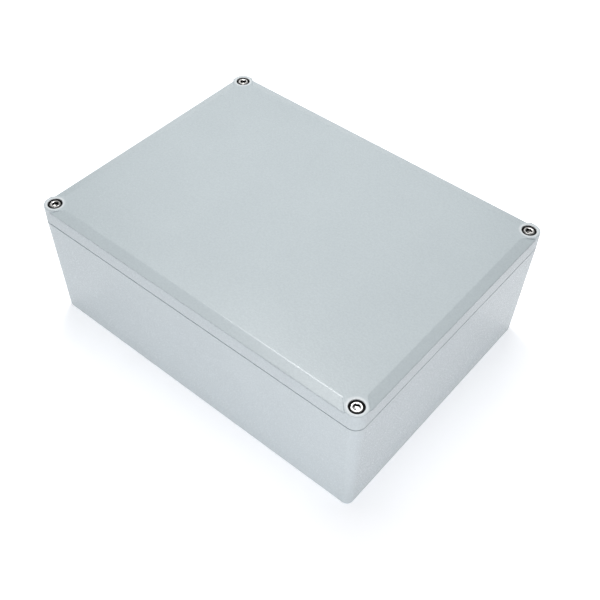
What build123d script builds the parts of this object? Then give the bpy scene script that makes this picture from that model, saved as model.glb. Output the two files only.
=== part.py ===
from build123d import *
import os
from math import atan2, degrees, radians, tan

# Wiring cabinet: a deep die-cast case, closed by a cast lid with a seal and four captive screws.
# Millimetres, +Z up, lying on its back. The origin is the middle of the base, +X along the long side.

# Outside of the closed cabinet
length = 400.0
width = 300.0
height = 147.0
lid_height = 19.0
corner_radius = 11.0
wall_draft = 1.75
foot_radius = 2.0
rim_chamfer = 0.3
shadow_gap_height = 0.7
shadow_gap_depth = 1.2

# Case casting
wall = 5.5
floor_thickness = 5.0
core_draft = 1.25
core_corner_radius = 7.0
floor_radius = 2.5

# Wall fixings: a through hole at the foot of a channel in each corner post
fixing_inset_x = 31.0
fixing_inset_y = 13.0
fixing_hole_radius = 3.5
fixing_channel_radius = 6.0
fixing_seat = 12.0
post_wall = 6.0
post_radius = 8.0

# Lid casting
bevel_width = 11.0
bevel_drop = 2.6
bevel_edge_radius = 1.2
plateau_edge_radius = 6.0
tab_edge_radius = 0.8
tab_margin = 3.5
tab_length = 30.0
screw_inset = 11.0
lid_skin = 4.5
lid_pocket_roof = 8.0

# Seal between lid and case, measured outwards from the cavity's outline at the rim
tongue_inset = 0.5
tongue_width = 2.0
tongue_height = 2.0
groove_clearance = 1.0
gasket_thickness = 3.0
gasket_side_clearance = 0.2
lip_width = 2.5
lip_drop = 2.0

# Lid screws, socket head M6 by 20, and their rubber bushes
screw_radius = 3.0
screw_length = 20.0
screw_head_radius = 5.5
screw_head_height = 6.0
screw_head_chamfer = 0.6
screw_end_chamfer = 0.8
socket_across_flats = 6.0
socket_depth = 3.2
thread_clearance = 0.05
screw_hole_clearance = 0.3
screw_head_below_top = 0.5
tapped_spare = 4.5
counterbore_radius = 7.5
counterbore_chamfer = 0.4
bush_floor = 2.0
bush_rim_below_top = 0.8
bush_outer_clearance = 0.1
bush_head_clearance = 0.3
bush_chamfer = 0.4

# Retaining ring on each screw's shank, in a pocket of the case and a chamber of the lid
ring_pocket_radius = 5.7
ring_side_clearance = 0.5
ring_thickness = 1.2
ring_gap = 0.2
chamber_roof = 2.9

# Mounting plate on its bosses
plate_thickness = 2.0
plate_clearance = 4.0
plate_hole_inset_x = 30.0
plate_hole_inset_y = 50.0
plate_hole_clearance = 0.4
boss_radius = 7.0
boss_height = 10.0
boss_draft = 1.5
plate_screw_radius = 2.5
plate_screw_length = 10.0
plate_screw_head_radius = 4.6
plate_screw_head_height = 3.2
plate_screw_head_round = 1.0
plate_screw_hole_spare = 1.0
plate_washer_radius = 5.5
plate_washer_thickness = 1.0
cross_recess_width = 1.1
cross_recess_length = 4.4
cross_recess_depth = 1.6

# Earth point on its boss
earth_inset_x = 40.0
earth_boss_radius = 8.0
earth_window_clearance = 4.0
earth_stud_radius = 3.0
earth_stud_sunk = 8.0
earth_stud_spare = 3.8
earth_washer_radius = 6.0
earth_washer_thickness = 1.6
earth_nut_across_flats = 10.0
earth_nut_height = 5.0

# Heights and depths worked out from the sizes above
parting_height = height - lid_height
bevel_foot_height = height - bevel_drop
counterbore_depth = screw_head_below_top + screw_head_height + bush_floor
counterbore_floor = height - counterbore_depth
screw_seat_height = counterbore_floor + bush_floor
screw_tip_height = screw_seat_height - screw_length
tapped_depth = parting_height - screw_tip_height + tapped_spare
bush_top_height = height - bush_rim_below_top
groove_depth = tongue_height + gasket_thickness
ring_pocket_depth = ring_thickness + 2 * ring_gap
ring_bottom = parting_height - ring_pocket_depth + ring_gap
chamber_height = lid_height - counterbore_depth - chamber_roof
boss_top = floor_thickness + boss_height
plate_top = boss_top + plate_thickness
earth_stack_height = 2 * (earth_washer_thickness + earth_nut_height)

# Places and widths worked out from the sizes above
post_length = fixing_inset_x + fixing_channel_radius + post_wall
post_width = fixing_inset_y + fixing_channel_radius + post_wall
tab_half_width = counterbore_radius + tab_margin
screw_x = length / 2 - screw_inset
screw_y = width / 2 - screw_inset
fixing_x = length / 2 - fixing_inset_x
fixing_y = width / 2 - fixing_inset_y
plate_hole_x = length / 2 - plate_hole_inset_x
plate_hole_y = width / 2 - plate_hole_inset_y
earth_x = earth_inset_x - length / 2
rim_plane = Plane.XY.offset(parting_height)
ledge_plane = Plane.XY.offset(parting_height - shadow_gap_height)
corners = {"front_left": (-1, -1), "front_right": (1, -1), "rear_left": (-1, 1), "rear_right": (1, 1)}

os.makedirs("parts", exist_ok=True)


def rim_outline(grow):
    """The case's outer outline at the parting line, grown outwards."""
    with BuildSketch(mode=Mode.PRIVATE) as outline:
        RectangleRounded(length + 2 * grow, width + 2 * grow, corner_radius + grow)
    return outline.sketch


def core_outline(grow):
    """The cavity's outline at the parting line, notched round the four posts, grown outwards."""
    far_x = length / 2 - wall + grow
    far_y = width / 2 - wall + grow
    near_x = length / 2 - post_length + grow
    near_y = width / 2 - post_width + grow
    corner = [(far_x, near_y), (near_x, near_y), (near_x, far_y)]
    half = corner + [(-x, y) for x, y in reversed(corner)]
    points = half + [(-x, -y) for x, y in half]
    radii = [core_corner_radius + grow, post_radius - grow, core_corner_radius + grow] * len(corners)
    with BuildSketch(mode=Mode.PRIVATE) as outline:
        with BuildLine():
            FilletPolyline(*points, radius=radii, close=True)
        make_face()
    return outline.sketch


def core_inset(level):
    """How far the cavity's drafted walls stand inside their outline at the rim, at a height."""
    return (parting_height - level) * tan(radians(core_draft))


def bevel_section(half_span):
    """Section of the bevel's wedges on two opposite sides, with the edges they leave rounded."""
    below = bevel_foot_height - bevel_edge_radius
    outside = half_span + bevel_edge_radius
    above = height + bevel_edge_radius
    inside = half_span - 2 * bevel_width
    plateau_edge = (half_span - bevel_width, height)
    edge = [(inside, height), plateau_edge, (half_span, bevel_foot_height), (half_span, below)]
    with BuildSketch(mode=Mode.PRIVATE) as section:
        with BuildLine():
            FilletPolyline(*edge, radius=[plateau_edge_radius, bevel_edge_radius])
            Polyline(edge[-1], (outside, below), (outside, above), (inside, above), edge[0])
        make_face()
        mirror(about=Plane.YZ)
    return section.sketch


# Lid tabs: a level band through each screw and out over the corner, rounded along its top edges
with BuildPart() as lid_tabs:
    with BuildSketch(rim_plane):
        for side_x, side_y in corners.values():
            outwards = degrees(atan2(side_y, side_x))
            with Locations(Location((side_x * screw_x, side_y * screw_y, 0), outwards)):
                Rectangle(2 * tab_length, 2 * tab_half_width)
    extrude(amount=lid_height)
    fillet(lid_tabs.edges().group_by(Axis.Z)[-1], tab_edge_radius)

# Core: the block that leaves the case's cavity, drafted and rounded round its foot
with BuildPart() as core:
    with BuildSketch(rim_plane):
        add(core_outline(0))
    extrude(amount=floor_thickness - parting_height)
    draft(core.faces().filter_by(Axis.Z, reverse=True), rim_plane, -core_draft)
    fillet(core.edges().group_by(Axis.Z)[0], floor_radius)

# Case: one casting, drafted inside and out, set back at the rim by a shadow gap under the lid
with BuildPart() as case:
    with BuildSketch(ledge_plane):
        add(rim_outline(0))
    extrude(amount=shadow_gap_height - parting_height)
    draft(case.faces().filter_by(Axis.Z, reverse=True), ledge_plane, -wall_draft)
    fillet(case.edges().group_by(Axis.Z)[0], foot_radius)
    chamfer(case.edges().group_by(Axis.Z)[-1], rim_chamfer)
    with BuildSketch(ledge_plane):
        add(rim_outline(-shadow_gap_depth))
    extrude(amount=shadow_gap_height)
    add(core.part, mode=Mode.SUBTRACT)

    # Tongue that presses into the gasket
    with BuildSketch(rim_plane):
        add(core_outline(tongue_inset + tongue_width))
        add(core_outline(tongue_inset), mode=Mode.SUBTRACT)
    extrude(amount=tongue_height)

    # Bosses for the plate and the earth stud
    with BuildSketch(Plane.XY.offset(floor_thickness)):
        with GridLocations(2 * plate_hole_x, 2 * plate_hole_y, 2, 2):
            Circle(boss_radius)
        with Locations((earth_x, 0)):
            Circle(earth_boss_radius)
    extrude(amount=boss_height, taper=boss_draft)
    with Locations((0, 0, boss_top)):
        with GridLocations(2 * plate_hole_x, 2 * plate_hole_y, 2, 2):
            Hole(
                plate_screw_radius + thread_clearance,
                depth=plate_screw_length - plate_washer_thickness - plate_thickness + plate_screw_hole_spare,
            )
        with Locations((earth_x, 0)):
            Hole(earth_stud_radius + thread_clearance, depth=earth_stud_sunk)

    # Lid screws' tapped holes under pockets for the retaining rings, and the wall fixings
    with Locations((0, 0, parting_height)):
        with GridLocations(2 * screw_x, 2 * screw_y, 2, 2):
            CounterBoreHole(
                screw_radius + thread_clearance,
                ring_pocket_radius,
                ring_pocket_depth,
                depth=tapped_depth,
            )
        with GridLocations(2 * fixing_x, 2 * fixing_y, 2, 2):
            CounterBoreHole(
                fixing_hole_radius,
                fixing_channel_radius,
                parting_height - fixing_seat,
                depth=parting_height,
            )
case.part.label = "case"
export_step(case.part, "parts/case.step")

# What the bevel leaves out of the lid: a wedge along each side, cut back round the tabs
with BuildPart() as bevel_cut:
    with BuildSketch(Plane.XZ):
        add(bevel_section(length / 2))
    extrude(amount=width, both=True)
    with BuildSketch(Plane.YZ):
        add(bevel_section(width / 2))
    extrude(amount=length, both=True)
    add(lid_tabs.part, mode=Mode.SUBTRACT)

# Lid: one casting, a plain skirt under a shallow bevel, with flat tabs at the corners
with BuildPart() as lid:
    with BuildSketch(rim_plane):
        add(rim_outline(0))
    extrude(amount=lid_height)
    chamfer(lid.edges().group_by(Axis.Z)[0], rim_chamfer)
    fillet(lid.edges().group_by(Axis.Z)[-1], tab_edge_radius)
    add(bevel_cut.part, mode=Mode.SUBTRACT)

    # Underside: recess inside a locating lip, the seal's groove, and pockets over the wall fixings
    with BuildSketch(Plane.XY.offset(parting_height - lip_drop)):
        add(core_outline(tongue_inset - groove_clearance))
    extrude(amount=lip_drop)
    with BuildSketch(Plane.XY.offset(parting_height - lip_drop)):
        add(core_outline(tongue_inset - groove_clearance - lip_width))
    extrude(amount=height - lid_skin - parting_height + lip_drop, mode=Mode.SUBTRACT)
    with BuildSketch(rim_plane):
        add(core_outline(tongue_inset + tongue_width + groove_clearance))
        add(core_outline(tongue_inset - groove_clearance), mode=Mode.SUBTRACT)
    extrude(amount=groove_depth, mode=Mode.SUBTRACT)
    with BuildSketch(rim_plane):
        with GridLocations(2 * fixing_x, 2 * fixing_y, 2, 2):
            Circle(fixing_channel_radius)
    extrude(amount=lid_height - lid_pocket_roof, mode=Mode.SUBTRACT)

    # Screw holes: a counterbore from above and room for the retaining ring from below
    with Locations((0, 0, height)):
        with GridLocations(2 * screw_x, 2 * screw_y, 2, 2):
            CounterBoreHole(
                screw_radius + screw_hole_clearance,
                counterbore_radius,
                counterbore_depth,
                depth=lid_height,
            )
    counterbore_mouths = lid.edges().group_by(Axis.Z)[-1].filter_by(lambda edge: edge.is_closed)
    chamfer(counterbore_mouths, counterbore_chamfer)
    with BuildSketch(rim_plane):
        with GridLocations(2 * screw_x, 2 * screw_y, 2, 2):
            Circle(ring_pocket_radius)
    extrude(amount=chamber_height, mode=Mode.SUBTRACT)
lid.part.label = "lid"
export_step(lid.part, "parts/lid.step")

# Gasket: one closed loop that fills the groove above the tongue
with BuildPart() as lid_gasket:
    with BuildSketch(Plane.XY.offset(parting_height + tongue_height)):
        add(core_outline(tongue_inset + tongue_width + groove_clearance - gasket_side_clearance))
        add(core_outline(tongue_inset - groove_clearance + gasket_side_clearance), mode=Mode.SUBTRACT)
    extrude(amount=gasket_thickness)
lid_gasket.part.label = "lid_gasket"
export_step(lid_gasket.part, "parts/lid_gasket.step")

# Lid fastenings, one set at each corner
for corner, (side_x, side_y) in corners.items():
    axis_x = side_x * screw_x
    axis_y = side_y * screw_y

    # Screw, with a hexagon socket in its head
    with BuildPart() as lid_screw:
        with BuildSketch(Plane((axis_x, axis_y, screw_seat_height))):
            Circle(screw_head_radius)
        extrude(amount=screw_head_height)
        chamfer(lid_screw.edges().group_by(Axis.Z)[-1], screw_head_chamfer)
        with BuildSketch(Plane((axis_x, axis_y, screw_tip_height))):
            Circle(screw_radius)
        extrude(amount=screw_length)
        chamfer(lid_screw.edges().group_by(Axis.Z)[0], screw_end_chamfer)
        with BuildSketch(Plane((axis_x, axis_y, screw_seat_height + screw_head_height))):
            RegularPolygon(socket_across_flats / 2, 6, major_radius=False)
        extrude(amount=-socket_depth, mode=Mode.SUBTRACT)
    lid_screw.part.label = f"lid_screw_{corner}"
    export_step(lid_screw.part, f"parts/lid_screw_{corner}.step")

    # Rubber bush: a cup that fills the counterbore round the screw's head
    with BuildPart() as screw_seal:
        with BuildSketch(Plane((axis_x, axis_y, counterbore_floor))):
            Circle(counterbore_radius - bush_outer_clearance)
        extrude(amount=bush_top_height - counterbore_floor)
        with Locations((axis_x, axis_y, bush_top_height)):
            CounterBoreHole(
                screw_radius + screw_hole_clearance,
                screw_head_radius + bush_head_clearance,
                bush_top_height - screw_seat_height,
                depth=bush_top_height - counterbore_floor,
            )
        chamfer(screw_seal.edges().group_by(Axis.Z)[-1], bush_chamfer)
    screw_seal.part.label = f"screw_seal_{corner}"
    export_step(screw_seal.part, f"parts/screw_seal_{corner}.step")

    # Retaining ring on the shank
    with BuildPart() as retaining_ring:
        with BuildSketch(Plane((axis_x, axis_y, ring_bottom))):
            Circle(ring_pocket_radius - ring_side_clearance)
            Circle(screw_radius + thread_clearance, mode=Mode.SUBTRACT)
        extrude(amount=ring_thickness)
    retaining_ring.part.label = f"retaining_ring_{corner}"
    export_step(retaining_ring.part, f"parts/retaining_ring_{corner}.step")

# Mounting plate: flat sheet that follows the cavity, with a window round the earth boss
with BuildPart() as mounting_plate:
    with BuildSketch(Plane.XY.offset(boss_top)):
        add(core_outline(-core_inset(boss_top) - plate_clearance))
        with GridLocations(2 * plate_hole_x, 2 * plate_hole_y, 2, 2):
            Circle(plate_screw_radius + plate_hole_clearance, mode=Mode.SUBTRACT)
        with Locations((earth_x, 0)):
            Circle(earth_boss_radius + earth_window_clearance, mode=Mode.SUBTRACT)
    extrude(amount=plate_thickness)
mounting_plate.part.label = "mounting_plate"
export_step(mounting_plate.part, "parts/mounting_plate.step")

# Plate fastenings, one set near each corner
for corner, (side_x, side_y) in corners.items():
    axis_x = side_x * plate_hole_x
    axis_y = side_y * plate_hole_y
    head_seat = plate_top + plate_washer_thickness

    with BuildPart() as plate_washer:
        with BuildSketch(Plane((axis_x, axis_y, plate_top))):
            Circle(plate_washer_radius)
            Circle(plate_screw_radius + plate_hole_clearance, mode=Mode.SUBTRACT)
        extrude(amount=plate_washer_thickness)
    plate_washer.part.label = f"plate_washer_{corner}"
    export_step(plate_washer.part, f"parts/plate_washer_{corner}.step")

    # Pan-head screw with a cross recess
    with BuildPart() as plate_screw:
        with BuildSketch(Plane((axis_x, axis_y, head_seat))):
            Circle(plate_screw_head_radius)
        extrude(amount=plate_screw_head_height)
        fillet(plate_screw.edges().group_by(Axis.Z)[-1], plate_screw_head_round)
        with BuildSketch(Plane((axis_x, axis_y, head_seat - plate_screw_length))):
            Circle(plate_screw_radius)
        extrude(amount=plate_screw_length)
        with BuildSketch(Plane((axis_x, axis_y, head_seat + plate_screw_head_height))):
            Rectangle(cross_recess_length, cross_recess_width)
            Rectangle(cross_recess_width, cross_recess_length)
        extrude(amount=-cross_recess_depth, mode=Mode.SUBTRACT)
    plate_screw.part.label = f"plate_screw_{corner}"
    export_step(plate_screw.part, f"parts/plate_screw_{corner}.step")

# Earth point: a stud in its boss, with a washer and a nut below and above the lug's place
with BuildPart() as earth_stud:
    with BuildSketch(Plane((earth_x, 0, boss_top - earth_stud_sunk))):
        Circle(earth_stud_radius)
    extrude(amount=earth_stud_sunk + earth_stack_height + earth_stud_spare)
    chamfer(earth_stud.edges().group_by(Axis.Z)[-1], screw_end_chamfer)
earth_stud.part.label = "earth_stud"
export_step(earth_stud.part, "parts/earth_stud.step")

earth_stack = {"lower": boss_top, "upper": boss_top + earth_washer_thickness + earth_nut_height}
for place, level in earth_stack.items():
    with BuildPart() as earth_washer:
        with BuildSketch(Plane((earth_x, 0, level))):
            Circle(earth_washer_radius)
            Circle(earth_stud_radius + thread_clearance, mode=Mode.SUBTRACT)
        extrude(amount=earth_washer_thickness)
    earth_washer.part.label = f"earth_washer_{place}"
    export_step(earth_washer.part, f"parts/earth_washer_{place}.step")

    with BuildPart() as earth_nut:
        with BuildSketch(Plane((earth_x, 0, level + earth_washer_thickness))):
            RegularPolygon(earth_nut_across_flats / 2, 6, major_radius=False)
            Circle(earth_stud_radius + thread_clearance, mode=Mode.SUBTRACT)
        extrude(amount=earth_nut_height)
    earth_nut.part.label = f"earth_nut_{place}"
    export_step(earth_nut.part, f"parts/earth_nut_{place}.step")
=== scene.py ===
"""Wiring cabinet: the finishes, the fine pieces and the studio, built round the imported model.

The two castings, the mounting plate and the plate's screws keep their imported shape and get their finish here.
The lid screws, their rubber bushes and retaining rings, the lid's gasket and the brass earth point are made
again as surfaces with the threads, sockets, chamfers and rounded lips that the plain solids leave out.

Metres, +Z up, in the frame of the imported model: the cabinet lies on its back on the floor z = 0.
"""

import logging
import math
from collections.abc import Mapping, Sequence
from dataclasses import dataclass, field
from enum import Enum
from typing import Any

import bmesh
import bpy
import numpy as np
from mathutils import Matrix, Vector

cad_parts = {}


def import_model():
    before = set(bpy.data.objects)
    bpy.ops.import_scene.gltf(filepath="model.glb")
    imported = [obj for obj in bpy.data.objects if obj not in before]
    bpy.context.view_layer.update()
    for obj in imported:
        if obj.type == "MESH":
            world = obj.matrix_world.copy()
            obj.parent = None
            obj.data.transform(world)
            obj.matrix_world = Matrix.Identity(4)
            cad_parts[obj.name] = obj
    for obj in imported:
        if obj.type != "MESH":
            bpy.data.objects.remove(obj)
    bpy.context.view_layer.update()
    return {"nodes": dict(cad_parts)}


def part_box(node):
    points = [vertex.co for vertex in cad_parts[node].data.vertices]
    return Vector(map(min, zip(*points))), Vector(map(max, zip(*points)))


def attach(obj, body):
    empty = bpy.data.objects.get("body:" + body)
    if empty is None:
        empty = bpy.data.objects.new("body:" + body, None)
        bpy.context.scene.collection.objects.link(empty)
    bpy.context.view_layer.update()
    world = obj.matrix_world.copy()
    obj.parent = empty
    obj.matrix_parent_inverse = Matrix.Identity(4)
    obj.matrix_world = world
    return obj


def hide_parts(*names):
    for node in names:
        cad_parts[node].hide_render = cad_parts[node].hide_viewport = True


Colour = tuple[float, float, float]
Point = tuple[float, float, float]

MM = 0.001
TURN = 2 * math.pi
PROFILE_UV = "profile"
SHARP_ANGLE = math.radians(38)
WELD_DISTANCE = 0.0001 * MM
FLAT_DISTANCE = WELD_DISTANCE / 10

# The parts of a noise's range that are stretched to a whole one.
NOISE_MIDDLE = (0.35, 0.65)
NOISE_MOST = (0.3, 0.7)

# The Mix node's sockets by number, because their names repeat for each type of value.
MIX_SHARE = 0
MIX_VECTORS = (4, 5)
MIX_COLOURS = (6, 7)
MIXED_VECTOR = 1
MIXED_COLOUR = 2

log = logging.getLogger("wiring_cabinet")


class Corner(Enum):
    """The cabinet's four corners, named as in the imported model."""

    FRONT_LEFT = "front_left"
    FRONT_RIGHT = "front_right"
    REAR_LEFT = "rear_left"
    REAR_RIGHT = "rear_right"


class Ends(Enum):
    """How the first and the last row of a surface are closed."""

    POLES = "each end row shrinks to one point"
    RING = "the last row joins the first"


class Slot(Enum):
    """The record's material slots."""

    COAT = "powder_coat"
    RUBBER = "seal_rubber"
    STAINLESS = "stainless_steel"
    GALVANISED = "galvanised_steel"
    ZINC = "zinc_plate"
    BRASS = "earth_brass"
    NYLON = "ring_plastic"


class Wire:
    """A shader socket that takes part in arithmetic: each operator adds one Math node."""

    def __init__(self, graph: "Graph", socket: bpy.types.NodeSocket) -> None:
        """Keeps the socket and the graph that it belongs to."""
        self.graph = graph
        self.socket = socket

    def __add__(self, other: "Wire | float") -> "Wire":
        """Sum of two values."""
        return self.graph.math("ADD", self, other)

    __radd__ = __add__

    def __sub__(self, other: "Wire | float") -> "Wire":
        """This value less the other."""
        return self.graph.math("SUBTRACT", self, other)

    def __rsub__(self, other: float) -> "Wire":
        """The other value less this one."""
        return self.graph.math("SUBTRACT", other, self)

    def __mul__(self, other: "Wire | float") -> "Wire":
        """Product of two values."""
        return self.graph.math("MULTIPLY", self, other)

    __rmul__ = __mul__

    def __pow__(self, other: "Wire | float") -> "Wire":
        """This value to the power of the other."""
        return self.graph.math("POWER", self, other)

    def __rpow__(self, other: float) -> "Wire":
        """The other value to the power of this one."""
        return self.graph.math("POWER", other, self)


class Graph:
    """The node tree of one new material."""

    def __init__(self, name: str) -> None:
        """Makes the material and empties its tree.

        Args:
            name: The material's name.
        """
        self.material = bpy.data.materials.new(name)
        self.material.use_nodes = True
        self.tree = self.material.node_tree
        self.tree.nodes.clear()

    def node(
        self,
        kind: str,
        settings: Mapping[str, Any] | None = None,
        inputs: Mapping[str | int, Any] | None = None,
        output: str | int = 0,
    ) -> Wire:
        """Adds a node.

        Args:
            kind: The node's type, such as "ShaderNodeTexNoise".
            settings: Its properties, set first. "stops" holds a ramp's (position, colour) pairs.
            inputs: Values or wires for its sockets, by name or number.
            output: The name or number of the socket that is returned.

        Returns:
            The chosen output.
        """
        made = self.tree.nodes.new(kind)
        for key, value in (settings or {}).items():
            if key == "stops":
                self._set_stops(made.color_ramp, value)
            else:
                setattr(made, key, value)
        for key, value in (inputs or {}).items():
            if isinstance(value, Wire):
                self.tree.links.new(value.socket, made.inputs[key])
            else:
                made.inputs[key].default_value = value
        return Wire(self, made.outputs[output])

    @staticmethod
    def _set_stops(ramp: bpy.types.ColorRamp, stops: Sequence[tuple[float, Colour]]) -> None:
        """Sets a ramp's stops, the first two on those that it starts with.

        Args:
            ramp: A new node's ramp.
            stops: Each stop's position and colour.
        """
        while len(ramp.elements) < len(stops):
            ramp.elements.new(1.0)
        for element, (position, colour) in zip(ramp.elements, stops, strict=True):
            element.position = position
            element.color = (*colour, 1.0)

    def math(self, operation: str, first: Wire | float, second: Wire | float = 0.0) -> Wire:
        """Adds one Math node and returns its value."""
        return self.node("ShaderNodeMath", {"operation": operation}, {0: first, 1: second})

    def spread(self, value: Wire, low: float, high: float, to_low: float = 0.0, to_high: float = 1.0) -> Wire:
        """Maps the range from low to high onto another one, and holds it there."""
        ranges = {"Value": value, "From Min": low, "From Max": high, "To Min": to_low, "To Max": to_high}
        return self.node("ShaderNodeMapRange", {"clamp": True}, ranges)

    def blend(self, share: Wire | float, first: Wire | Colour, second: Wire | Colour) -> Wire:
        """Mixes two colours in a straight line.

        Args:
            share: The second colour's share, from 0 to 1.
            first: The colour where the share is 0.
            second: The colour where it is 1.

        Returns:
            The mixed colour.
        """
        colours = [c if isinstance(c, Wire) else (*c, 1.0) for c in (first, second)]
        inputs = {MIX_SHARE: share, MIX_COLOURS[0]: colours[0], MIX_COLOURS[1]: colours[1]}
        return self.node("ShaderNodeMix", {"data_type": "RGBA"}, inputs, output=MIXED_COLOUR)

    def place(self, squeeze: Point = (1.0, 1.0, 1.0)) -> Wire:
        """Object coordinates in metres, scaled along each axis."""
        where = self.node("ShaderNodeTexCoord", output="Object")
        return self.node("ShaderNodeMapping", None, {"Vector": where, "Scale": squeeze})

    def noise(self, where: Wire, scale: float, detail: float, roughness: float = 0.5) -> Wire:
        """Cloudy noise of about 1 / scale metres, from 0 to 1."""
        inputs = {"Vector": where, "Scale": scale, "Detail": detail, "Roughness": roughness}
        return self.node("ShaderNodeTexNoise", None, inputs)

    def gloss(self, value: Wire, roughness: float, smoother: float, rougher: float) -> Wire:
        """Roughness that follows a noise, a little to both sides of its mean."""
        return self.spread(value, *NOISE_MOST, roughness - smoother, roughness + rougher)

    def bump(self, height: Wire, depth: float, strength: float, below: Wire | None = None) -> Wire:
        """Makes a relief.

        Args:
            height: Heights from 0 to 1.
            depth: What a height of 1 stands for, in metres.
            strength: Share of the relief that shows.
            below: Another relief, which this one lies on.

        Returns:
            The relief's normals.
        """
        inputs: dict[str | int, Any] = {"Height": height, "Distance": depth, "Strength": strength}
        if below is not None:
            inputs["Normal"] = below
        return self.node("ShaderNodeBump", None, inputs)

    def close(self, inputs: Mapping[str | int, Any]) -> bpy.types.Material:
        """Ends the tree in a Principled shader with these inputs.

        Args:
            inputs: The shader's sockets by name. Plain colours have three numbers.

        Returns:
            The finished material.
        """
        full = {k: (*v, 1.0) if isinstance(v, tuple) else v for k, v in inputs.items()}
        surface = self.node("ShaderNodeBsdfPrincipled", None, full)
        end = self.tree.nodes.new("ShaderNodeOutputMaterial")
        self.tree.links.new(surface.socket, end.inputs["Surface"])
        return self.material


@dataclass(frozen=True)
class PowderCoat:
    """Satin powder coat on the castings: fine sand texture, with slight clouds in its shade, and a painted
    highlight, partly thinner coat, lighter on the flat tabs round the mouths of the lid's counterbores.

    The tabs lie above tab_level, and the screws' axes stand screw_x and screw_y from the cabinet's middle.
    """

    colour: Colour = (0.572, 0.640, 0.665)
    shaded: Colour = (0.511, 0.574, 0.601)
    # A painted highlight, partly thinner coat: the lighter colour laid round the counterbores' mouths on the
    # tabs.
    thin_coat_and_highlight: Colour = (0.78, 0.83, 0.85)
    screw_x: float = 189.0 * MM
    screw_y: float = 139.0 * MM
    highlight_full_within: float = 8.6 * MM
    highlight_gone_beyond: float = 11.0 * MM
    tab_level: float = 143.0 * MM
    cloud_scale: float = 14.0
    cloud_share: float = 0.2
    grain_scale: float = 950.0
    grain_share: float = 0.3
    grain_depth: float = 0.1 * MM
    grain_strength: float = 0.6
    pit_scale: float = 475.0
    pit_share: float = 0.5
    pit_depth: float = 0.2 * MM
    pit_strength: float = 0.3
    roughness: float = 0.24
    smoother: float = 0.05
    rougher: float = 0.07
    refraction: float = 1.5

    def material(self) -> bpy.types.Material:
        """Base colour from clouds, grains and the larger pits, and a painted highlight, partly thinner coat,
        lighter at the mouths of the counterbores.
        Relief from the grains and the pits.

        Returns:
            The coat's material.
        """
        graph = Graph("powder_coat")
        where = graph.place()
        clouds = graph.noise(where, self.cloud_scale, detail=3.0)
        grains = graph.noise(where, self.grain_scale, detail=3.0, roughness=0.65)
        pits = graph.noise(where, self.pit_scale, detail=1.0)
        shade = (
            graph.spread(clouds, *NOISE_MIDDLE) * self.cloud_share
            + graph.spread(grains, *NOISE_MIDDLE) * self.grain_share
            + graph.spread(pits, *NOISE_MIDDLE) * self.pit_share
        )
        relief = graph.bump(grains, self.grain_depth, self.grain_strength)
        relief = graph.bump(pits, self.pit_depth, self.pit_strength, below=relief)
        coat = graph.blend(shade, self.colour, self.shaded)
        return graph.close({
            # Painted highlight, partly thinner coat, blended in round the counterbores' mouths.
            "Base Color": graph.blend(self._mouth_highlight(graph, where), coat, self.thin_coat_and_highlight),
            "Roughness": graph.gloss(grains, self.roughness, self.smoother, self.rougher),
            "Normal": relief,
            "IOR": self.refraction,
        })

    def _mouth_highlight(self, graph: Graph, where: Wire) -> Wire:
        """Finds the mouths of the counterbores, where a painted highlight, partly thinner coat, lies.

        The four screws' axes lie alike on both sides of the middle, so the distance from the nearest is the
        length of the plan coordinates without their signs, less the axis's own.

        Args:
            graph: The coat's tree.
            where: Object coordinates.

        Returns:
            One close to a screw's axis, nought past a counterbore's mouth or below the tabs.
        """
        along, across, level = (
            graph.node("ShaderNodeSeparateXYZ", None, {0: where}, output=name) for name in ("X", "Y", "Z")
        )
        beside = graph.math("ABSOLUTE", along) - self.screw_x
        behind = graph.math("ABSOLUTE", across) - self.screw_y
        distance = (beside * beside + behind * behind) ** 0.5
        near = 1 - graph.spread(distance, self.highlight_full_within, self.highlight_gone_beyond)
        return near * graph.math("GREATER_THAN", level, self.tab_level)


@dataclass(frozen=True)
class TurnedMetal:
    """Bare or plated metal of a turned piece: fine rings left by the tool, a slight tarnish, and where given a
    painted shade.
    """

    name: str
    colour: Colour
    tarnish: Colour
    roughness: float
    smoother: float = 0.06
    rougher: float = 0.08
    ring_scale: float = 6.0
    ring_stretch: float = 0.15
    ring_depth: float = 0.012 * MM
    ring_strength: float = 0.6
    stain_scale: float = 260.0
    stain_from: float = 0.45
    stain_to: float = 0.75
    stain_gloss: float = 0.08
    # Painted shade: a nearly black colour between two lengths along the profile, where shade falls in a socket.
    painted_shade: Colour = (0.015, 0.015, 0.016)
    painted_shade_from: float = 0.0
    painted_shade_to: float = 0.0
    painted_shade_edge: float = 0.2

    def material(self) -> bpy.types.Material:
        """Rings follow the profile's own length in millimetres, clouds follow Object coordinates.

        Painted shade, nearly black, lies between two lengths along the profile, such as those of a socket's
        walls.

        Returns:
            The metal's material.
        """
        graph = Graph(self.name)
        along = graph.node("ShaderNodeUVMap", {"uv_map": PROFILE_UV})
        squeeze = (self.ring_stretch, self.ring_scale, 1.0)
        squeezed = graph.node("ShaderNodeMapping", None, {"Vector": along, "Scale": squeeze})
        rings = graph.noise(squeezed, 1.0, detail=4.0, roughness=0.7)
        clouds = graph.noise(graph.place(), self.stain_scale, detail=3.0)
        stain = graph.spread(clouds, self.stain_from, self.stain_to)
        metal = graph.blend(stain, self.colour, self.tarnish)
        # Painted shade down the socket's walls.
        if self.painted_shade_to > self.painted_shade_from:
            length = graph.node("ShaderNodeSeparateXYZ", None, {0: along}, output="Y")
            edge = self.painted_shade_edge
            above = graph.spread(length, self.painted_shade_from - edge, self.painted_shade_from + edge)
            below = 1 - graph.spread(length, self.painted_shade_to - edge, self.painted_shade_to + edge)
            metal = graph.blend(above * below, metal, self.painted_shade)
        gloss = graph.gloss(rings, self.roughness, self.smoother, self.rougher)
        return graph.close({
            "Base Color": metal,
            "Metallic": 1.0,
            "Roughness": gloss + stain * self.stain_gloss,
            "Normal": graph.bump(rings, self.ring_depth, self.ring_strength),
        })


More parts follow.
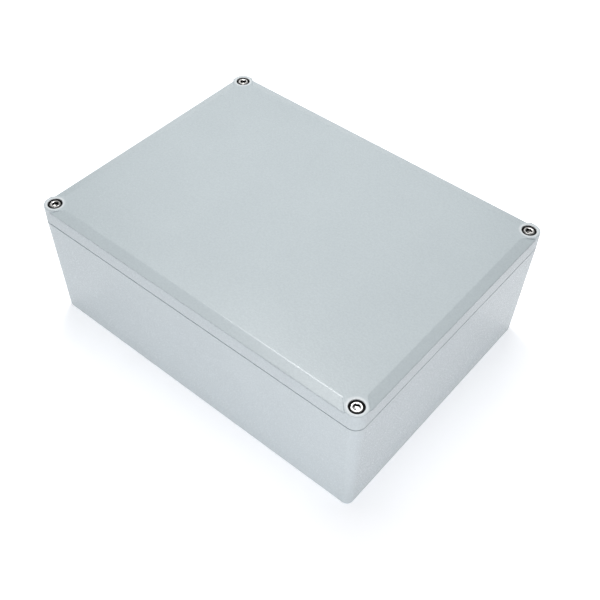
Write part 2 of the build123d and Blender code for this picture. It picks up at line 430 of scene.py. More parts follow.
@dataclass(frozen=True)
class SheetMetal:
    """Galvanised or zinc-plated steel: crystals of slightly different grey, and fine rolling marks."""

    name: str
    light: Colour
    dark: Colour
    crystal_scale: float
    roughness: float
    smoother: float = 0.05
    rougher: float = 0.07
    wander_scale: float = 1.6
    wander_share: float = 0.02
    rolling_scale: float = 2200.0
    rolling_stretch: float = 0.04
    rolling_share: float = 0.2
    rolling_depth: float = 0.01 * MM
    rolling_strength: float = 0.4

    def material(self) -> bpy.types.Material:
        """Each Voronoi cell is one crystal, with its own shade and gloss, and a wandering edge.

        Returns:
            The sheet's material.
        """
        graph = Graph(self.name)
        where = graph.place()
        wander = graph.noise(where, self.crystal_scale * self.wander_scale, detail=2.0)
        aside = graph.node("ShaderNodeCombineXYZ", None, {0: wander, 1: wander, 2: wander})
        inputs = {MIX_SHARE: self.wander_share, MIX_VECTORS[0]: where, MIX_VECTORS[1]: aside}
        bent = graph.node("ShaderNodeMix", {"data_type": "VECTOR"}, inputs, output=MIXED_VECTOR)
        inputs = {"Vector": bent, "Scale": self.crystal_scale}
        cell = graph.node("ShaderNodeTexVoronoi", None, inputs, output="Color")
        shade = graph.node("ShaderNodeSeparateColor", None, {0: cell})
        rolled = graph.noise(graph.place((1.0, self.rolling_stretch, 1.0)), self.rolling_scale, detail=2.0)
        mixed = shade * (1 - self.rolling_share) + rolled * self.rolling_share
        smoothest = self.roughness - self.smoother
        roughest = self.roughness + self.rougher
        return graph.close({
            "Base Color": graph.blend(mixed, self.light, self.dark),
            "Metallic": 1.0,
            "Roughness": graph.spread(shade, 0.0, 1.0, smoothest, roughest),
            "Normal": graph.bump(rolled, self.rolling_depth, self.rolling_strength),
        })


@dataclass(frozen=True)
class Moulded:
    """A moulded piece, rubber or nylon: matte, with the mould's fine skin."""

    name: str
    colour: Colour
    bloom: Colour
    roughness: float
    smoother: float = 0.05
    rougher: float = 0.08
    shine: float = 0.5
    bloom_scale: float = 320.0
    bloom_from: float = 0.4
    bloom_to: float = 0.8
    skin_scale: float = 1500.0
    skin_depth: float = 0.03 * MM
    skin_strength: float = 0.5

    def material(self) -> bpy.types.Material:
        """A thin bloom in clouds over the colour, and a fine relief.

        Returns:
            The piece's material.
        """
        graph = Graph(self.name)
        where = graph.place()
        grain = graph.noise(where, self.skin_scale, detail=3.0)
        clouds = graph.noise(where, self.bloom_scale, detail=2.0)
        share = graph.spread(clouds, self.bloom_from, self.bloom_to)
        return graph.close({
            "Base Color": graph.blend(share, self.colour, self.bloom),
            "Roughness": graph.gloss(grain, self.roughness, self.smoother, self.rougher),
            "Specular IOR Level": self.shine,
            "Normal": graph.bump(grain, self.skin_depth, self.skin_strength),
        })


@dataclass(frozen=True)
class Paper:
    """The studio's seamless paper floor, nearly white."""

    colour: Colour = (0.93, 0.935, 0.955)
    fibre_scale: float = 420.0
    fibre_shade: float = 0.985
    roughness: float = 0.9
    shine: float = 0.1
    glow: Colour = (0.97, 0.98, 1.0)
    glow_strength: float = 0.52

    def material(self) -> bpy.types.Material:
        """Matte paper with faint fibres, and a glow of its own.

        Returns:
            The paper's material.
        """
        graph = Graph("studio_paper")
        fibres = graph.noise(graph.place(), self.fibre_scale, detail=3.0)
        shaded = tuple(self.fibre_shade * c for c in self.colour)
        stops = [(0.0, self.colour), (1.0, shaded)]
        return graph.close({
            "Base Color": graph.node("ShaderNodeValToRGB", {"stops": stops}, {0: fibres}),
            "Roughness": self.roughness,
            "Specular IOR Level": self.shine,
            "Emission Color": self.glow,
            "Emission Strength": self.glow_strength,
        })


FINISHES = {
    Slot.COAT: PowderCoat(),
    Slot.RUBBER: Moulded(
        "seal_rubber", colour=(0.004, 0.004, 0.0045), bloom=(0.007, 0.007, 0.0075), roughness=0.72, shine=0.14
    ),
    # The screws' finish paints shade down their sockets' walls.
    Slot.STAINLESS: TurnedMetal(
        "stainless_steel",
        colour=(0.80, 0.79, 0.77), tarnish=(0.66, 0.65, 0.63), roughness=0.24, painted_shade_from=3.1, painted_shade_to=6.0,
    ),
    Slot.GALVANISED: SheetMetal(
        "galvanised_steel",
        light=(0.54, 0.56, 0.58), dark=(0.43, 0.45, 0.47), crystal_scale=170.0, roughness=0.42,
    ),
    Slot.ZINC: SheetMetal(
        "zinc_plate",
        light=(0.76, 0.78, 0.80), dark=(0.62, 0.64, 0.67), crystal_scale=900.0, roughness=0.3,
    ),
    Slot.BRASS: TurnedMetal(
        "earth_brass", colour=(0.80, 0.60, 0.28), tarnish=(0.60, 0.43, 0.20), roughness=0.28
    ),
    Slot.NYLON: Moulded(
        "ring_plastic", colour=(0.80, 0.78, 0.72), bloom=(0.74, 0.72, 0.66), roughness=0.45
    ),
}


@dataclass(frozen=True)
class Place:
    """Where a turned piece stands: its axis in plan, its two end levels and its outer radius."""

    x: float
    y: float
    low: float
    high: float
    radius: float

    @classmethod
    def of(cls, node: str) -> "Place":
        """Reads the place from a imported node's box."""
        low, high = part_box(node)
        return cls((low.x + high.x) / 2, (low.y + high.y) / 2, low.z, high.z, (high.y - low.y) / 2)

    def middle(self, bore: float) -> float:
        """Radius half-way between a bore and the outside."""
        return (self.radius + bore) / 2


def rounded_outline(corners: Sequence[Point], steps: int = 5) -> np.ndarray:
    """Rounds the corners of an open outline.

    Each corner (a, b, rounding) becomes an arc that touches both of its sides. It starts and ends at a reach
    from the corner that is the rounding over the tangent of half the angle between them.

    Args:
        corners: The outline's corners, with the radius that rounds each.
        steps: Segments of an arc.

    Returns:
        The points of the rounded outline, one row each.
    """
    points = np.array(corners, float)
    rows = [points[:1, :2]]
    for before, here, after in zip(points[:-2], points[1:-1], points[2:], strict=True):
        back = before[:2] - here[:2]
        on = after[:2] - here[:2]
        back = back / np.linalg.norm(back)
        on = on / np.linalg.norm(on)
        if here[2] <= 0:
            rows.append(here[None, :2])
            continue
        half_angle = math.acos(float(np.clip(back @ on, -1, 1))) / 2
        reach = here[2] / math.tan(half_angle)
        centre = here[:2] + (back + on) / np.linalg.norm(back + on) * here[2] / math.sin(half_angle)
        start = here[:2] + back * reach - centre
        stop = here[:2] + on * reach - centre
        turn = math.atan2(start[0] * stop[1] - start[1] * stop[0], float(start @ stop))
        angle = np.linspace(0, turn, steps + 1)[:, None]
        rows.append(centre + start * np.cos(angle) + np.array([-start[1], start[0]]) * np.sin(angle))
    rows.append(points[-1:, :2])
    return np.concatenate(rows)


def divided(outline: np.ndarray, longest: float) -> np.ndarray:
    """Adds points to an outline by straight interpolation, so that no step is longer than a length.

    Args:
        outline: The outline's points, one row each.
        longest: The longest step.

    Returns:
        The points, with those between them.
    """
    steps = np.linalg.norm(np.diff(outline, axis=0), axis=1)
    counts = np.maximum(np.ceil(steps / longest).astype(int), 1)
    index = np.repeat(np.arange(len(steps)), counts)
    start = np.repeat(np.cumsum(counts) - counts, counts)
    share = ((np.arange(counts.sum()) - start) / counts[index])[:, None]
    return np.concatenate([outline[index] * (1 - share) + outline[index + 1] * share, outline[-1:]])


def angles(columns: int) -> np.ndarray:
    """Evenly spaced angles round an axis, without the last that would repeat the first."""
    return np.linspace(0, TURN, columns, endpoint=False)


def hexagon(across: float, angle: np.ndarray) -> np.ndarray:
    """Distance to a hexagon's side: half its width over the cosine of the angle from the side's middle."""
    return across / 2 / np.cos((angle + TURN / 12) % (TURN / 6) - TURN / 12)


def thread(angle: np.ndarray, height: np.ndarray, pitch: float, low: float, high: float) -> np.ndarray:
    """Share of a thread's depth that is cut away.

    A triangle wave of height over pitch less the share of the turn, so that it climbs one pitch a turn. It
    fades in over one pitch at each end of the threaded length.

    Args:
        angle: Angles of the columns.
        height: Heights of the rows.
        pitch: Climb in one turn.
        low: Where the thread starts.
        high: Where it ends.

    Returns:
        From 0 at the crest to 1 at the root, one row per height and one column per angle.
    """
    phase = (height[:, None] / pitch - angle[None, :] / TURN) % 1.0
    wave = 1 - np.abs(2 * phase - 1)
    fade = np.clip(np.minimum(height - low, high - height) / pitch, 0, 1)
    return wave * fade[:, None]


def around(place: Place, radii: np.ndarray, heights: np.ndarray) -> np.ndarray:
    """Points of a turned surface: the axis plus the radius times the cosine and sine of each column's angle.

    Args:
        place: The piece's axis.
        radii: One radius per row and column.
        heights: One height per row, or per row and column.

    Returns:
        The points, by row, column and axis.
    """
    angle = angles(radii.shape[1])
    levels = np.broadcast_to(heights.reshape(len(radii), -1), radii.shape)
    return np.stack([place.x + radii * np.cos(angle), place.y + radii * np.sin(angle), levels], axis=-1)


def ring_section(place: Place, bore: float, edge: float) -> np.ndarray:
    """Section of a flat ring: a rectangle with rounded corners, from the middle of its lower side.

    Args:
        place: The ring's levels and outer radius.
        bore: Its inner radius.
        edge: What each corner is rounded by.

    Returns:
        The section's points, as radius and height, the first one not repeated.
    """
    return rounded_outline([
        (place.middle(bore), place.low, 0),
        (place.radius, place.low, edge),
        (place.radius, place.high, edge),
        (bore, place.high, edge),
        (bore, place.low, edge),
        (place.middle(bore), place.low, 0),
    ])[:-1]


def skin(name: str, points: np.ndarray, ends: Ends) -> bpy.types.Object:
    """Puts a grid of points into a mesh whose faces point outwards.

    A face joins each point with its neighbours in the next column, which close round, and in the next row.
    The faces are turned over where the sum of their corners' triple products, six times the volume inside,
    is negative. The profile's length in millimetres, back from its last row, goes into a UV map for finishes
    that follow it.

    Args:
        name: The object's name.
        points: The points, by row, column and axis.
        ends: How the first and the last row are closed.

    Returns:
        The new object, at the origin, with its place in its mesh.
    """
    rows, columns = points.shape[:2]
    number = np.arange(rows * columns).reshape(rows, columns)
    if ends is Ends.RING:
        number = np.concatenate([number, number[:1]])
    beside = np.roll(number, -1, axis=1)
    quads = np.stack([number[:-1], beside[:-1], beside[1:], number[1:]], axis=-1).reshape(-1, 4)
    length = np.linalg.norm(np.diff(points[:, 0], axis=0, append=points[:1, 0]), axis=1)
    along = np.concatenate([[0], np.cumsum(length)])[: len(number)]
    along = (along[-1] - along) / MM
    across = np.arange(columns) / columns
    where = np.stack(np.broadcast_arrays(across[None, :], along[:, None]), axis=-1)
    beside_where = where + [1 / columns, 0]
    uv = np.stack([where[:-1], beside_where[:-1], beside_where[1:], where[1:]], axis=2).reshape(-1, 2)
    vertices = points.reshape(-1, 3)
    centre = vertices.mean(axis=0)
    a, b, c, d = (vertices[quads[:, k]] - centre for k in range(4))
    volume = np.einsum("ij,ij->i", a, np.cross(b, c) + np.cross(c, d)).sum()
    if volume < 0:
        quads = quads[:, ::-1]
        uv = uv.reshape(-1, 4, 2)[:, ::-1].reshape(-1, 2)
    mesh = bpy.data.meshes.new(name)
    mesh.from_pydata(vertices.tolist(), [], quads.tolist())
    mesh.uv_layers.new(name=PROFILE_UV).data.foreach_set("uv", uv.astype(np.float32).ravel())
    if ends is Ends.POLES:
        merge_doubles(mesh)
    mesh.shade_smooth()
    mesh.set_sharp_from_angle(angle=SHARP_ANGLE)
    made = bpy.data.objects.new(name, mesh)
    bpy.context.scene.collection.objects.link(made)
    return made


def merge_doubles(mesh: bpy.types.Mesh) -> None:
    """Welds a pole's repeated points and drops the faces that have no area.

    Args:
        mesh: The mesh, which is changed.
    """
    work = bmesh.new()
    work.from_mesh(mesh)
    bmesh.ops.remove_doubles(work, verts=work.verts, dist=WELD_DISTANCE)
    bmesh.ops.dissolve_degenerate(work, edges=work.edges, dist=FLAT_DISTANCE)
    work.to_mesh(mesh)
    work.free()


@dataclass
class Workshop:
    """Dresses pieces and puts them on their bodies. Each finish's material is made once."""

    materials: dict[Slot, bpy.types.Material] = field(default_factory=dict)

    def dress(self, piece: bpy.types.Object, slot: Slot) -> None:
        """Gives a piece one finish, in place of any material that it has.

        Args:
            piece: The piece.
            slot: The finish's slot in the record.
        """
        if slot not in self.materials:
            self.materials[slot] = FINISHES[slot].material()
        piece.data.materials.clear()
        piece.data.materials.append(self.materials[slot])

    def stand_in(self, piece: bpy.types.Object, node: str, body: str, slot: Slot) -> None:
        """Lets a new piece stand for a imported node.

        Args:
            piece: The new piece.
            node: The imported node.
            body: The body that carries the piece.
            slot: The slot of its finish.
        """
        self.dress(piece, slot)
        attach(piece, body)
        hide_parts(node)
        log.info("%s stands for %s on %s, with %d faces", piece.name, node, body, len(piece.data.polygons))


@dataclass
class LidScrew:
    """Socket-head screw in one corner of the lid: threaded shank, knurled head, hexagon socket."""

    corner: Corner
    head_height: float = 6.0 * MM
    head_chamfer: float = 0.6 * MM
    shank_radius: float = 3.0 * MM
    end_chamfer: float = 0.8 * MM
    neck: float = 2.0 * MM
    pitch: float = 1.0 * MM
    thread_depth: float = 0.55 * MM
    knurls: int = 36
    knurl_depth: float = 0.12 * MM
    socket_across: float = 6.0 * MM
    socket_depth: float = 3.2 * MM
    socket_lead: float = 0.35 * MM
    socket_point: float = 0.7 * MM
    socket_corner: float = 1.13
    lead_rows: int = 3
    wall_rows: int = 7
    point_rows: int = 6
    edge: float = 0.1 * MM
    head_edge: float = 0.2 * MM
    head_root: float = 0.3 * MM
    columns: int = 144
    row_step: float = 0.11 * MM

    def build(self, shop: Workshop) -> None:
        """One closed surface, from the tip's middle up round the head and down into the socket.

        The thread is cut into the shank. The knurl takes half its depth off the head's side, times one plus
        the cosine of the angle times the number of knurls. It fades out below the head's chamfer, over twice
        the chamfer's height.

        Args:
            shop: What dresses the screw and puts it on its body.
        """
        node = f"lid_screw_{self.corner.value}"
        place = Place.of(node)
        angle = angles(self.columns)
        seat = place.high - self.head_height
        outside = divided(self._outside(place, seat), self.row_step)
        radii = np.repeat(outside[:, :1], self.columns, axis=1)
        height = outside[:, 1]
        cut = thread(angle, height, self.pitch, place.low, seat - self.neck)
        shank = outside[:, 0] < self.shank_radius + self.row_step
        cut = cut * (shank & (outside[:, 0] > self.shank_radius - self.end_chamfer))[:, None]
        radii = radii - cut * self.thread_depth
        side = (outside[:, 0] > place.radius - self.row_step / 2) & (height > seat + self.head_chamfer)
        fade = np.clip((place.high - self.head_chamfer - height) / (2 * self.head_chamfer), 0, 1) * side
        radii = radii - fade[:, None] * self.knurl_depth * (0.5 + 0.5 * np.cos(self.knurls * angle))
        inside, socket_radii = self._socket(place, angle)
        points = around(place, np.concatenate([radii, socket_radii]), np.concatenate([height, inside]))
        screw = skin(f"{node}_turned", points, Ends.POLES)
        shop.stand_in(screw, node, f"screw_{self.corner.value}", Slot.STAINLESS)

    def _outside(self, place: Place, seat: float) -> np.ndarray:
        """Draws the profile from the tip's middle to the socket's mouth.

        Args:
            place: The screw's axis and ends.
            seat: The level of the head's underside.

        Returns:
            The profile's points, as radius and height.
        """
        tip = self.shank_radius - self.end_chamfer
        return rounded_outline([
            (0, place.low, 0),
            (tip, place.low, self.edge),
            (self.shank_radius, place.low + self.end_chamfer, self.edge),
            (self.shank_radius, seat, self.head_root),
            (place.radius, seat, self.head_edge),
            (place.radius, place.high - self.head_chamfer, self.head_edge),
            (place.radius - self.head_chamfer, place.high, self.head_edge),
            (self._mouth(), place.high, 0),
        ])

    def _mouth(self) -> float:
        """Radius of the socket's round mouth: its corners' radius and the lead-in."""
        return self.socket_across / 2 / math.cos(TURN / 12) + self.socket_lead

    def _socket(self, place: Place, angle: np.ndarray) -> tuple[np.ndarray, np.ndarray]:
        """Draws the socket from its mouth to its middle.

        The radii turn from round to hexagonal over the lead-in, in a straight line, and shrink with the
        depth to nothing over the drill's point. The hexagon's corners are cut at socket_corner times half
        its width.

        Args:
            place: The screw's axis and ends.
            angle: Angles of the columns.

        Returns:
            The rows' heights, and their radii by row and column.
        """
        side = np.minimum(hexagon(self.socket_across, angle), self.socket_across / 2 * self.socket_corner)
        floor = place.high - self.socket_depth
        share = np.linspace(0, 1, self.lead_rows + 1)[1:, None]
        lead = self._mouth() * (1 - share) + side * share
        lead_height = place.high - self.socket_lead * share[:, 0]
        wall_height = np.linspace(lead_height[-1], floor, self.wall_rows + 1)[1:]
        wall = np.repeat(side[None], len(wall_height), axis=0)
        shrink = np.linspace(1, 0, self.point_rows + 1)[1:, None]
        point_height = floor - self.socket_point * (1 - shrink[:, 0])
        heights = np.concatenate([lead_height, wall_height, point_height])
        return heights, np.concatenate([lead, wall, side * shrink])


@dataclass
class ScrewSeal:
    """Rubber bush in one counterbore: a cup with a rounded lip round the screw's head."""

    corner: Corner
    hole_radius: float = 3.3 * MM
    cup_radius: float = 5.8 * MM
    floor: float = 2.0 * MM
    lip: float = 0.75 * MM
    foot_edge: float = 0.4 * MM
    hole_edge: float = 0.3 * MM
    inner_bend: float = 0.15 * MM
    columns: int = 96
    row_step: float = 0.5 * MM

    def build(self, shop: Workshop) -> None:
        """One ring: its section's corners are rounded, most at the lip.

        Args:
            shop: What dresses the bush and puts it on the lid.
        """
        node = f"screw_seal_{self.corner.value}"
        place = Place.of(node)
        middle = place.middle(self.cup_radius)
        section = rounded_outline([
            (middle, place.low, 0),
            (place.radius, place.low, self.foot_edge),
            (place.radius, place.high, self.lip),
            (self.cup_radius, place.high, self.lip),
            (self.cup_radius, place.low + self.floor, self.inner_bend),
            (self.hole_radius, place.low + self.floor, self.hole_edge),
            (self.hole_radius, place.low, self.hole_edge),
            (middle, place.low, 0),
        ])[:-1]
        section = divided(section, self.row_step)
        radii = np.repeat(section[:, :1], self.columns, axis=1)
        seal = skin(f"{node}_moulded", around(place, radii, section[:, 1]), Ends.RING)
        shop.stand_in(seal, node, "lid", Slot.RUBBER)


@dataclass
class RetainingRing:
    """Nylon ring on a screw's shank, with nicks in its bore that grip the thread."""

    corner: Corner
    bore_radius: float = 3.05 * MM
    edge: float = 0.25 * MM
    nicks: int = 6
    nick_depth: float = 0.35 * MM
    nick_power: int = 4
    columns: int = 96
    row_step: float = 0.4 * MM

    def build(self, shop: Workshop) -> None:
        """One ring. At each nick the bore's radius grows by a cosine's upper half, raised to a power. The
        growth falls in a straight line to nothing half-way to the ring's outside.

        Args:
            shop: What dresses the ring and puts it on its body.
        """
        node = f"retaining_ring_{self.corner.value}"
        place = Place.of(node)
        middle = place.middle(self.bore_radius)
        section = divided(ring_section(place, self.bore_radius, self.edge), self.row_step)
        wave = np.maximum(np.cos(self.nicks * angles(self.columns)), 0) ** self.nick_power
        near_bore = np.clip((middle - section[:, :1]) / (middle - self.bore_radius), 0, 1)
        radii = section[:, :1] + near_bore * self.nick_depth * wave
        ring = skin(f"{node}_moulded", around(place, radii, section[:, 1]), Ends.RING)
        shop.stand_in(ring, node, f"ring_{self.corner.value}", Slot.NYLON)


@dataclass
class LidGasket:
    """Rubber gasket in the lid's groove: one closed loop that steps inwards round the four posts.

    The posts' inner sides lie post_length and post_width in from the cabinet's own sides.
    """

    cabinet_half: tuple[float, float] = (200.0 * MM, 150.0 * MM)
    post_length: float = 43.0 * MM
    post_width: float = 25.0 * MM
    wall: float = 5.5 * MM
    seat_width: float = 3.6 * MM
    outer_bend: float = 8.5 * MM
    post_bend: float = 6.5 * MM
    dent: float = 0.25 * MM
    dent_half: float = 1.2 * MM
    squareness: float = 0.45
    section_points: int = 28
    bend_steps: int = 8
    step: float = 2.5 * MM

    def build(self, shop: Workshop) -> None:
        """The section is carried along the loop's middle line, at right angles to it.

        Args:
            shop: What dresses the gasket and puts it on the lid.
        """
        low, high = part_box("lid_gasket")
        line = self._middle_line((high.x - low.x) / 2, (high.y - low.y) / 2)
        ahead = np.roll(line, -1, axis=0) - np.roll(line, 1, axis=0)
        ahead = ahead / np.linalg.norm(ahead, axis=1, keepdims=True)
        out = np.stack([ahead[:, 1], -ahead[:, 0]], axis=1)
        across, up = self._section((high.z - low.z) / 2)
        flat = line[None] + across[:, None, None] * out[None]
        level = np.broadcast_to(((low.z + high.z) / 2 + up)[:, None, None], (*flat.shape[:2], 1))
        gasket = skin("lid_gasket_moulded", np.concatenate([flat, level], axis=2), Ends.RING)
        shop.stand_in(gasket, "lid_gasket", "lid", Slot.RUBBER)

    def _middle_line(self, half_x: float, half_y: float) -> np.ndarray:
        """Draws the loop's middle line in plan. It runs outside the cavity's outline by the same width along
        the walls and round the posts.

        Args:
            half_x: Half the loop's outer length.
            half_y: Half its outer width.

        Returns:
            The line's points, the first one not repeated.
        """
        far_x = half_x - self.seat_width / 2
        far_y = half_y - self.seat_width / 2
        cabinet_x, cabinet_y = self.cabinet_half
        outside = far_x - (cabinet_x - self.wall)
        near_x = cabinet_x - self.post_length + outside
        near_y = cabinet_y - self.post_width + outside
        quarter = [
            (far_x, near_y, self.outer_bend),
            (near_x, near_y, self.post_bend),
            (near_x, far_y, self.outer_bend),
        ]
        half = quarter + [(-x, y, bend) for x, y, bend in reversed(quarter)]
        loop = half + [(-x, -y, bend) for x, y, bend in half]
        start = (far_x, 0.0, 0.0)
        return divided(rounded_outline([start, *loop, start], self.bend_steps), self.step)[:-1]

    def _section(self, half_height: float) -> tuple[np.ndarray, np.ndarray]:
        """Superellipse: the cosine and the sine of the angle, each to a power below one with its sign kept.
        The tongue's dent in the lower side is deepest in the middle, and falls off in a straight line.

        Args:
            half_height: Half the gasket's height.

        Returns:
            How far each point of the section lies out from its middle, and how far up.
        """
        angle = angles(self.section_points)
        cos, sin = np.cos(angle), np.sin(angle)
        across = self.seat_width / 2 * np.sign(cos) * np.abs(cos) ** self.squareness
        up = half_height * np.sign(sin) * np.abs(sin) ** self.squareness
        pressed = np.clip(1 - np.abs(across) / self.dent_half, 0, 1)
        return across, np.where(up < 0, up + self.dent * pressed, up)


@dataclass
class EarthPoint:
    """Brass earth point on its boss: threaded stud, two chamfered nuts and two washers."""

    pitch: float = 1.0 * MM
    thread_depth: float = 0.55 * MM
    stud_chamfer: float = 0.8 * MM
    stud_edge: float = 0.1 * MM
    stud_top_edge: float = 0.15 * MM
    bore_radius: float = 3.05 * MM
    bore_lead: float = 0.4 * MM
    nut_across: float = 10.0 * MM
    nut_face: float = 0.97
    nut_chamfer_angle: float = math.radians(30)
    nut_chamfer_depths: tuple[float, ...] = (0.0, 0.25 * MM, 0.5 * MM, 0.8 * MM, 1.2 * MM)
    washer_edge: float = 0.2 * MM
    columns: int = 96
    row_step: float = 0.11 * MM

    def build(self, shop: Workshop) -> None:
        """The stud, and a washer and a nut at each of the two levels.

        Args:
            shop: What dresses the pieces and puts them on the case.
        """
        self._stud(shop)
        for level in ("lower", "upper"):
            self._washer(shop, f"earth_washer_{level}")
            self._nut(shop, f"earth_nut_{level}")

    def _stud(self, shop: Workshop) -> None:
        """Rod with a chamfered top, whose side the thread is cut into.

        Args:
            shop: What dresses it.
        """
        place = Place.of("earth_stud")
        profile = divided(rounded_outline([
            (0, place.low, 0),
            (place.radius, place.low, self.stud_edge),
            (place.radius, place.high - self.stud_chamfer, self.stud_edge),
            (place.radius - self.stud_chamfer, place.high, self.stud_top_edge),
            (0, place.high, 0),
        ]), self.row_step)
        cut = thread(angles(self.columns), profile[:, 1], self.pitch, place.low, place.high)
        side = profile[:, :1] > place.radius - self.stud_chamfer
        radii = profile[:, :1] - cut * side * self.thread_depth
        stud = skin("earth_stud_threaded", around(place, radii, profile[:, 1]), Ends.POLES)
        shop.stand_in(stud, "earth_stud", "case", Slot.BRASS)

    def _washer(self, shop: Workshop, node: str) -> None:
        """Flat ring with rounded edges.

        Args:
            shop: What dresses it.
            node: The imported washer.
        """
        place = Place.of(node)
        section = ring_section(place, self.bore_radius, self.washer_edge)
        radii = np.repeat(section[:, :1], self.columns, axis=1)
        washer = skin(f"{node}_stamped", around(place, radii, section[:, 1]), Ends.RING)
        shop.stand_in(washer, node, "case", Slot.BRASS)

    def _nut(self, shop: Workshop, node: str) -> None:
        """Hexagon nut: each side is cut off by the cone that chamfers the corners, whose radius grows from
        nut_face times half the nut's width by the depth over the tangent of the chamfer's angle. The bore is
        chamfered to its thread.

        Args:
            shop: What dresses it.
            node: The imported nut.
        """
        place = Place.of(node)
        side = hexagon(self.nut_across, angles(self.columns))
        depth = np.array(self.nut_chamfer_depths)
        level = np.concatenate([place.low + depth, place.high - depth[::-1]])
        grown = np.concatenate([depth, depth[::-1]]) / math.tan(self.nut_chamfer_angle)
        cone = self.nut_across / 2 * self.nut_face + grown
        outer = np.minimum(side[None], cone[:, None])
        lead = self.bore_lead
        bore_level = np.array([place.high, place.high - lead, place.low + lead, place.low])
        bore = np.array([lead, 0, 0, lead]) + self.bore_radius
        radii = np.concatenate([outer, np.repeat(bore[:, None], self.columns, axis=1)])
        points = around(place, radii, np.concatenate([level, bore_level]))
        shop.stand_in(skin(f"{node}_milled", points, Ends.RING), node, "case", Slot.BRASS)


@dataclass
class Castings:
    """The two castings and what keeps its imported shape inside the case."""

    def build(self, shop: Workshop, nodes: Mapping[str, bpy.types.Object]) -> None:
        """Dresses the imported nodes, which stay as they are.

        Args:
            shop: What dresses them.
            nodes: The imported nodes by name.
        """
        slots = {"case": Slot.COAT, "lid": Slot.COAT, "mounting_plate": Slot.GALVANISED}
        for corner in Corner:
            slots[f"plate_screw_{corner.value}"] = Slot.ZINC
            slots[f"plate_washer_{corner.value}"] = Slot.ZINC
        for name, slot in slots.items():
            shop.dress(nodes[name], slot)
            log.info("%s keeps its packed shape, in %s", name, slot.value)


@dataclass(frozen=True)
class Softbox:
    """One rectangular light: where it stands, what it points at, and its power."""

    name: str
    stands: Point
    faces: Point
    width: float
    height: float
    watts: float
    tint: Colour = (1.0, 1.0, 1.0)

    def hang(self) -> None:
        """Makes the light. The camera doesn't see it."""
        data = bpy.data.lights.new(self.name, "AREA")
        data.shape = "RECTANGLE"
        data.size = self.width
        data.size_y = self.height
        data.energy = self.watts
        data.color = self.tint
        lamp = bpy.data.objects.new(self.name, data)
        lamp.location = self.stands
        lamp.rotation_euler = (Vector(self.faces) - Vector(self.stands)).to_track_quat("-Z", "Y").to_euler()
        lamp.visible_camera = False
        bpy.context.scene.collection.objects.link(lamp)


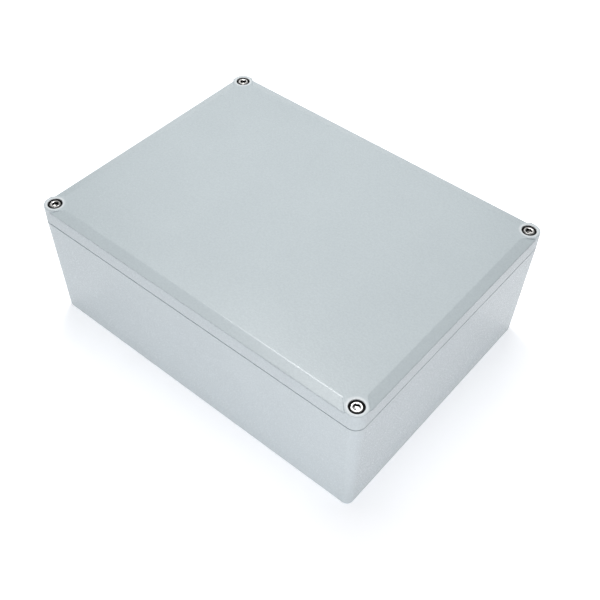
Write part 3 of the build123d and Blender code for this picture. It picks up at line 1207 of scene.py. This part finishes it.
@dataclass
class Studio:
    """Paper floor, soft lights and the camera at the photograph's angle."""

    floor_half: float = 6.0
    ambient: Colour = (0.97, 0.98, 1.0)
    ambient_strength: float = 0.10
    backdrop_strength: float = 0.62
    eye: Point = (0.42824, -0.51869, 0.76969)
    azimuth: float = 38.536
    elevation: float = 47.922
    roll: float = 1.729
    focal_pixels: float = 924.9
    frame_pixels: float = 600.0
    sensor: float = 36.0
    nearest: float = 0.01
    farthest: float = 50.0
    softboxes: tuple[Softbox, ...] = (
        Softbox(
            "overhead_softbox",
            stands=(0.03, -0.03, 1.15), faces=(0.03, -0.03, 0.1), width=0.7, height=0.7, watts=5.6,
        ),
        Softbox(
            "key_softbox",
            stands=(-0.42, 0.30, 1.45), faces=(0.05, -0.12, 0.147), width=0.3, height=0.3, watts=5.5,
        ),
        Softbox(
            "window_softbox",
            stands=(-0.9, 1.15, 1.75), faces=(0.0, 0.0, 0.1), width=1.4, height=1.4, watts=7.2,
        ),
        Softbox(
            "front_softbox",
            stands=(0.6, -1.05, 0.15), faces=(0.05, 0.0, 0.06), width=0.8, height=0.26, watts=2.5,
        ),
        Softbox(
            "back_softbox",
            stands=(-1.45, 1.78, 0.75), faces=(0.0, 0.0, 0.147), width=2.4, height=0.6, watts=5.6,
        ),
        Softbox(
            "corner_softbox",
            stands=(0.75, -0.8, 0.27), faces=(0.15, -0.1, 0.08), width=0.7, height=0.35, watts=1.6,
            tint=(1.0, 0.90, 0.92),
        ),
    )

    def build(self) -> None:
        """Lays the floor, hangs the lights and sets up the camera."""
        self._floor()
        self._sky()
        for softbox in self.softboxes:
            softbox.hang()
        self._camera()
        log.info("the studio is ready")

    def _floor(self) -> None:
        """A wide flat sheet of paper under the cabinet."""
        half = self.floor_half
        mesh = bpy.data.meshes.new("studio_floor")
        corners = [(-half, -half, 0), (half, -half, 0), (half, half, 0), (-half, half, 0)]
        mesh.from_pydata(corners, [], [(0, 1, 2, 3)])
        mesh.materials.append(Paper().material())
        floor = bpy.data.objects.new("studio_floor", mesh)
        bpy.context.scene.collection.objects.link(floor)

    def _sky(self) -> None:
        """An even, slightly cool surrounding light. The camera itself sees a pale backdrop past the floor's
        edge, as light as the far floor: the strength goes from one to the other on the camera's own rays."""
        world = bpy.data.worlds.new("studio_air")
        world.use_nodes = True
        tree = world.node_tree
        seen = tree.nodes.new("ShaderNodeLightPath").outputs["Is Camera Ray"]
        strength = tree.nodes.new("ShaderNodeMapRange")
        strength.inputs["To Min"].default_value = self.ambient_strength
        strength.inputs["To Max"].default_value = self.backdrop_strength
        background = tree.nodes["Background"]
        background.inputs["Color"].default_value = (*self.ambient, 1.0)
        tree.links.new(seen, strength.inputs["Value"])
        tree.links.new(strength.outputs["Result"], background.inputs["Strength"])
        bpy.context.scene.world = world
        bpy.context.scene.view_settings.view_transform = "Standard"

    def _camera(self) -> None:
        """A pinhole camera placed by the cabinet's corners as the photograph shows them. Its axes are the
        line of sight, and the two across it turned by the roll."""
        turn, tilt, roll = (math.radians(a) for a in (self.azimuth, self.elevation, self.roll))
        ahead = Vector((-math.sin(turn) * math.cos(tilt), math.cos(turn) * math.cos(tilt), -math.sin(tilt)))
        level = ahead.cross(Vector((0, 0, 1))).normalized()
        upright = level.cross(ahead)
        right = math.cos(roll) * level + math.sin(roll) * upright
        up = math.cos(roll) * upright - math.sin(roll) * level
        data = bpy.data.cameras.new("photograph_camera")
        data.sensor_width = self.sensor
        data.lens = self.focal_pixels / self.frame_pixels * self.sensor
        data.clip_start = self.nearest
        data.clip_end = self.farthest
        camera = bpy.data.objects.new("photograph_camera", data)
        camera.matrix_world = Matrix.Translation(self.eye) @ Matrix((right, up, -ahead)).transposed().to_4x4()
        bpy.context.scene.collection.objects.link(camera)
        bpy.context.scene.camera = camera


def main() -> None:
    """Builds every sub-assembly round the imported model, in order."""
    logging.basicConfig(level=logging.INFO, format="%(name)s: %(message)s")
    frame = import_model()
    shop = Workshop()
    Castings().build(shop, frame["nodes"])
    LidGasket().build(shop)
    for corner in Corner:
        LidScrew(corner).build(shop)
        ScrewSeal(corner).build(shop)
        RetainingRing(corner).build(shop)
    EarthPoint().build(shop)
    Studio().build()


if __name__ == "__main__":
    main()
